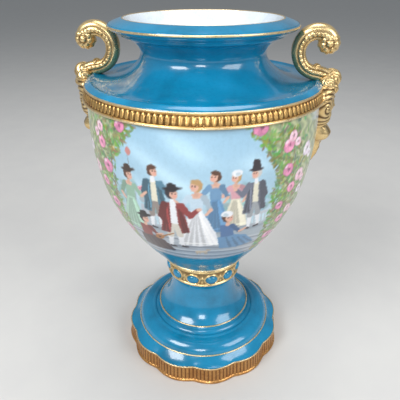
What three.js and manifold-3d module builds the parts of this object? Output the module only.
// A porcelain mantel urn in two fired pieces: the urn itself, with its neck, fluted band and
// the two scroll handles that grow out of masks, and the pedestal foot that it stands on.
// Millimetres, +Z up, origin on the table under the axis, handles along X, front towards -Y.
import * as THREE from "three";
import { mergeVertices } from "three/addons/utils/BufferGeometryUtils.js";
import Module from "manifold-3d";

const wasm = await Module();
wasm.setup();

// ---- driving dimensions ----
const HEIGHT = 400; // table to the crest of the rim
const WALL = 6; // porcelain thickness of bowl, neck and foot
const JOINT_Z = 130; // top of the foot, where the urn is set down on it
const JOINT_GAP = 0.3;

const RIM = { r: 92, z: 393.4, crest: 77.3 };
const NECK = { r: 62.5, z: 367.3 }; // the waist
const SHOULDER = { r: 117.4, z: 342.5 };
const BAND = { top: 340.5, bottom: 328, rTop: 119.4, rBottom: 122, flutes: 140, cut: 0.7 };
const BOWL = { r: 118.7, z: 296.8, foot: 50.6 };

const COLLAR = { r: 43.4, bottom: 104.2, torus: 48.4 };
const STONES = { count: 12, turn: 20.5, z: 113.2, wide: 7.2, tall: 5.4, proud: 3.4 };
const STEM = { r: 39.8, z: 94, flare: 57.7, flareZ: 52.2 };
const STEP = { r: 85.3, z: 31.6 };
const PLINTH = { r: 97.5, base: 99.3, top: 23.8, lobes: 12, scallop: 4, flutes: 132, cut: 0.55 };
const FOOT_RING = 88.5; // inner radius of the ring that the foot stands on

const HANDLE = { thick: 13.2, wide: 16, volute: 11.2 };
const MASK = { top: 341, tip: 257.5 };

const AROUND = 40; // sides of a wide turned surface
const NARROW = 28; // sides of the stem and collar
const INSIDE = 20; // sides of the hidden inner surfaces
const TAU = 2 * Math.PI;

// ---- skins ----

// Triangles between two rings of points that run the same way round, whatever their counts.
function zip(a, b, index) {
  let i = 0;
  let j = 0;
  while (i < a.length || j < b.length) {
    const p = a[i % a.length];
    const q = b[j % b.length];
    const stepA = j >= b.length || (i < a.length && (i + 1) / a.length <= (j + 1) / b.length);
    if (stepA) {
      i += 1;
      if (a.length > 1) index.push(p, a[i % a.length], q);
    } else {
      j += 1;
      if (b.length > 1) index.push(p, b[j % b.length], q);
    }
  }
}

// A closed skin over a list of rings, each an array of [x, y, z]. A ring of one point closes an end.
function skin(rings) {
  const position = [];
  const index = [];
  const numbered = rings.map((ring) =>
    ring.map((point) => position.push(...point) / 3 - 1),
  );
  for (let k = 1; k < numbered.length; k++) zip(numbered[k - 1], numbered[k], index);
  const geometry = new THREE.BufferGeometry();
  geometry.setAttribute("position", new THREE.Float32BufferAttribute(position, 3));
  geometry.setIndex(index);
  return geometry;
}

// A level ring about the axis: r is a radius, or a function of the angle.
function level(n, r, z) {
  if (n === 1) return [[0, 0, z]];
  return Array.from({ length: n }, (_, i) => {
    const angle = (i / n) * TAU;
    const radius = typeof r === "function" ? r(angle) : r;
    return [radius * Math.cos(angle), radius * Math.sin(angle), z];
  });
}

const turned = (n, profile) => profile.map(([r, z]) => level(n, r, z));

// Radius of a profile of [r, z] points, rising in z, at a height.
function radiusAt(profile, z) {
  const k = profile.findIndex((point) => point[1] > z);
  if (k < 1) return profile[k < 0 ? profile.length - 1 : 0][0];
  const [[r0, z0], [r1, z1]] = [profile[k - 1], profile[k]];
  return r0 + ((r1 - r0) * (z - z0)) / (z1 - z0);
}

// ---- solids ----

function solid(geometry) {
  const bare = (geometry.index ? geometry : mergeVertices(geometry)).clone();
  for (const name of ["normal", "uv"]) bare.deleteAttribute(name);
  const merged = mergeVertices(bare, 1e-4);
  return new wasm.Manifold(
    new wasm.Mesh({
      numProp: 3,
      vertProperties: new Float32Array(merged.attributes.position.array),
      triVerts: new Uint32Array(merged.index.array),
    }),
  );
}

function geometryOf(manifold) {
  const mesh = manifold.getMesh();
  const geometry = new THREE.BufferGeometry();
  geometry.setAttribute("position", new THREE.BufferAttribute(mesh.vertProperties, 3));
  geometry.setIndex(new THREE.BufferAttribute(mesh.triVerts, 1));
  geometry.computeVertexNormals();
  return geometry;
}

const joined = (first, ...rest) => rest.reduce((sum, next) => sum.add(next), first);

// A ball squashed to half axes x, y and z.
function ball(centre, axes, sides = 10) {
  const geometry = new THREE.SphereGeometry(1, sides, Math.round(sides * 0.7));
  geometry.rotateX(Math.PI / 2).scale(...axes).translate(...centre);
  return solid(geometry);
}

// ---- the urn ----

const bowlProfile = [
  [BOWL.foot, 132.4],
  [62.5, 147.7],
  [79.1, 169.6],
  [94.8, 195.9],
  [107.9, 226.6],
  [112.4, 243.5],
  [115.7, 261.7],
  [117.9, 279],
  [BOWL.r, BOWL.z],
  [118.2, BAND.bottom - 0.5],
];

const shoulderProfile = [
  [SHOULDER.r, SHOULDER.z],
  [113.6, 344.9],
  [111.6, 343.6],
  [99, 343],
  [84, 346.8],
  [72, 353.6],
  [65.2, 360.8],
  [NECK.r, NECK.z],
  [64.4, 374],
  [70, 379.8],
  [78.4, 384],
];

const rimProfile = [
  [80.2, 386],
  [89.2, 390],
  [91.4, 391.6],
  [RIM.r, RIM.z],
  [90.6, 395.6],
  [79, 399.7],
  [RIM.crest, HEIGHT],
  [75.4, 399.1],
];

const insideProfile = [
  [68.6, 388.5],
  [58.6, 376.5],
  [NECK.r - WALL, NECK.z],
  [59.4, 357.6],
  [71, 346.6],
  [86, 339.4],
  [107.5, 335],
  [BOWL.r - WALL, BOWL.z],
  [109.7, 262],
  [102, 228.5],
  [89.4, 198.8],
  [74, 173],
  [48, 147],
  [30, 141.5],
];

function fluted({ flutes, cut }, base) {
  return (angle) => {
    const r = typeof base === "function" ? base(angle) : base;
    return r - cut + cut * Math.cos(flutes * angle);
  };
}

function bandRings() {
  const { top, bottom, rTop, rBottom, flutes } = BAND;
  return [
    level(AROUND, rBottom - 0.6, bottom),
    level(AROUND, rBottom, bottom + 1.4),
    level(2 * flutes, fluted(BAND, rBottom - 0.9), bottom + 2.6),
    level(2 * flutes, fluted(BAND, rTop - 0.6), top - 2.2),
    level(AROUND, rTop, top - 1.6),
    level(AROUND, rTop - 0.2, top),
  ];
}

function urnShell() {
  const base = JOINT_Z + JOINT_GAP;
  return solid(
    skin([
      level(1, 0, base),
      level(NARROW, 46.4, base),
      level(AROUND, 49.8, base + 0.6),
      ...turned(AROUND, bowlProfile),
      ...bandRings(),
      ...turned(AROUND, shoulderProfile),
      ...turned(AROUND, rimProfile),
      ...turned(INSIDE, insideProfile),
      level(1, 0, 141),
    ]),
  );
}

// The scroll: it leaves the mask's curls over the shoulder's edge, climbs beside the neck and
// curls outwards to the volute. Points are [x, z] on its centre line, with its thickness there.
const scrollLine = [
  [122, 346.5, 14],
  [114, 349, 13.5],
  [106.5, 350.4, 12.6],
  [99.8, 354, 12.6],
  [94.8, 360.6, 12.8],
  [92.7, 368.8, 13.2],
  [93.6, 377, 13.6],
  [98.6, 384, 14.2],
  [106.6, 388, 14.8],
  [115.2, 387.4, 15.4],
  [121.4, 382.6, 15],
];

function scroll() {
  const curve = new THREE.CatmullRomCurve3(scrollLine.map(([x, z]) => new THREE.Vector3(x, 0, z)));
  const steps = 14;
  const sides = 8;
  const rings = [];
  for (let k = 0; k <= steps; k++) {
    const u = k / steps;
    const at = curve.getPoint(u);
    const along = curve.getTangent(u);
    const across = new THREE.Vector3(along.z, 0, -along.x);
    const place = u * (scrollLine.length - 1);
    const low = Math.min(Math.floor(place), scrollLine.length - 2);
    const thick = THREE.MathUtils.lerp(scrollLine[low][2], scrollLine[low + 1][2], place - low);
    const ring = [];
    for (let i = 0; i < sides; i++) {
      const angle = ((i + 0.5) / sides) * TAU;
      const out = 0.54 * thick * Math.cos(angle);
      ring.push([
        at.x + across.x * out,
        0.54 * HANDLE.wide * Math.sin(angle),
        at.z + across.z * out,
      ]);
    }
    rings.push(ring);
  }
  const start = curve.getPoint(0);
  const end = curve.getPoint(1);
  return solid(skin([[start.toArray()], ...rings, [end.toArray()]]));
}

// The mask's outline from the side, as [z, radius, half width], from the tip of its drop up. The
// face is a plain one: chin at 306, mouth at 312, nose tip at 318, eyes at 325, hair from 334.
const maskLine = [
  [MASK.tip, 117.6, 1.5],
  [264, 121.8, 3.2],
  [277, 125.2, 5.4],
  [282, 126.6, 8],
  [285.5, 132.6, 11.5],
  [290, 133.9, 13],
  [299.5, 127.6, 13],
  [306, 131.4, 17],
  [312, 131.6, 21],
  [318, 135, 22.6],
  [325, 131.8, 23],
  [329, 132.6, 23],
  [334, 132, 22],
  [MASK.top, 134.4, 16],
];

// How proud the face stands, from 0 to 1, across its half width t = -1 to 1.
function faceShape(t, z) {
  const round = Math.max(0, 1 - Math.abs(t) ** 2.6) ** 0.6;
  if (z < 303) return round;
  const nose = Math.exp(-((t / 0.2) ** 2)) * (z > 310 && z < 331 ? 1 : 0);
  const eye = Math.exp(-(((Math.abs(t) - 0.4) / 0.16) ** 2) - ((z - 326.5) / 3.2) ** 2);
  return round * (0.76 + 0.24 * nose - 0.24 * eye);
}

function mask() {
  const across = [-1, -0.84, -0.42, -0.2, 0, 0.2, 0.42, 0.84, 1];
  const outer = [...bowlProfile, [BAND.rBottom, 329], [BAND.rTop, 340], [118, 342]];
  const onWall = (radius, t, half, z) => {
    const angle = (t * half) / BOWL.r;
    return [radius * Math.cos(angle), radius * Math.sin(angle), z];
  };
  const rings = maskLine.map(([z, radius, half]) => {
    const wall = radiusAt(outer, z);
    const front = across.map((t) => {
      const proud = (radius - wall) * faceShape(t, z) - (Math.abs(t) === 1 ? 1.5 : 0);
      return onWall(wall + proud, t, half, z);
    });
    const back = [1, -1].map((t) => onWall(wall - WALL / 2, t, half, z));
    return [...front, ...back];
  });
  const [low, high] = [rings[0], rings[rings.length - 1]];
  const middle = (ring) => [0, 1, 2].map((k) => (ring[0][k] + ring[8][k] + 2 * ring[4][k]) / 4);
  return solid(skin([[middle(low)], ...rings, [middle(high)]]));
}

function handle() {
  const volute = ball([120.4, 0, 378], [HANDLE.volute, 9.8, HANDLE.volute], 10);
  const curls = [
    ball([126.6, 0, 344.6], [9.6, 9, 9.4], 8),
    ball([122.4, 11.5, 341.5], [7.6, 7.4, 7.2], 8),
    ball([122.4, -11.5, 341.5], [7.6, 7.4, 7.2], 8),
    ball([111.6, 0, 354.4], [4.4, 6, 4.4], 6),
  ];
  return joined(scroll(), volute, ...curls, mask());
}

function urnBody() {
  const right = handle();
  return joined(urnShell(), right, right.rotate([0, 0, 180]));
}

// ---- the pedestal foot ----

const footInside = [
  [34, 122],
  [36.5, 116],
  [STEM.r - WALL, STEM.z],
  [36.2, 78],
  [42, 61.5],
  [52.6, 46],
  [74, 35.6],
  [FOOT_RING - 2, 18],
  [FOOT_RING, 0],
];

const stepProfile = [
  [87.2, 29.8],
  [STEP.r, STEP.z],
  [83.8, 37],
  [79.6, 42],
  [70.6, 44.7],
  [68.4, 44.1],
  [65.8, 45.4],
  [62.4, 44.6],
  [60, 48],
  [59, 51.4],
  [STEM.flare, STEM.flareZ],
];

const stemProfile = [
  [51, 58.6],
  [45.6, 68],
  [41.6, 80],
  [STEM.r, STEM.z],
  [41.6, 102.8],
];

const collarProfile = [
  [45, COLLAR.bottom + 0.8],
  [COLLAR.r, 107.6],
  [COLLAR.r, 120.6],
  [45.6, 124.4],
  [COLLAR.torus, 127],
  [46, JOINT_Z],
];

// Rounded lobes that meet in notches; a notch faces the front.
function lobed(r) {
  const { lobes, scallop } = PLINTH;
  return (angle) => {
    const lobe = Math.abs(Math.cos((lobes / 2) * (angle - Math.PI / lobes)));
    return r + scallop * (lobe - 2 / Math.PI);
  };
}

function plinthRings() {
  const { r, base, top, lobes, flutes } = PLINTH;
  const n = 6 * lobes;
  return [
    level(n, lobed(base - 0.6), 0),
    level(n, lobed(base), 3.4),
    level(2 * flutes, fluted(PLINTH, lobed(base - 1.4)), 4.4),
    level(2 * flutes, fluted(PLINTH, lobed(r - 0.8)), top - 3),
    level(n, lobed(r), top - 2),
    level(n, lobed(r - 0.4), top),
  ];
}

function footShell() {
  return solid(
    skin([
      level(1, 0, 122.4),
      ...turned(INSIDE, footInside),
      ...plinthRings(),
      ...turned(AROUND, stepProfile),
      ...turned(NARROW, stemProfile),
      ...turned(NARROW, collarProfile),
      level(1, 0, JOINT_Z),
    ]),
  );
}

function pedestalFoot() {
  const { count, turn, z, wide, tall, proud } = STONES;
  const stones = Array.from({ length: count }, (_, k) =>
    ball([COLLAR.r - 0.6, 0, z], [proud + 0.6, wide, tall], 7).rotate([
      0,
      0,
      turn + (360 * k) / count,
    ]),
  );
  return joined(footShell(), ...stones);
}

// ---- the scene ----

function piece(name, manifold, colour, roughness) {
  const material = new THREE.MeshStandardMaterial({ color: colour, roughness, metalness: 0 });
  const mesh = new THREE.Mesh(geometryOf(manifold), material);
  mesh.name = name;
  return mesh;
}

const urn = new THREE.Group();
urn.add(piece("urn_body", urnBody(), 0x0f86b0, 0.16));
urn.add(piece("pedestal_foot", pedestalFoot(), 0x0a7ba6, 0.16));

export default urn;
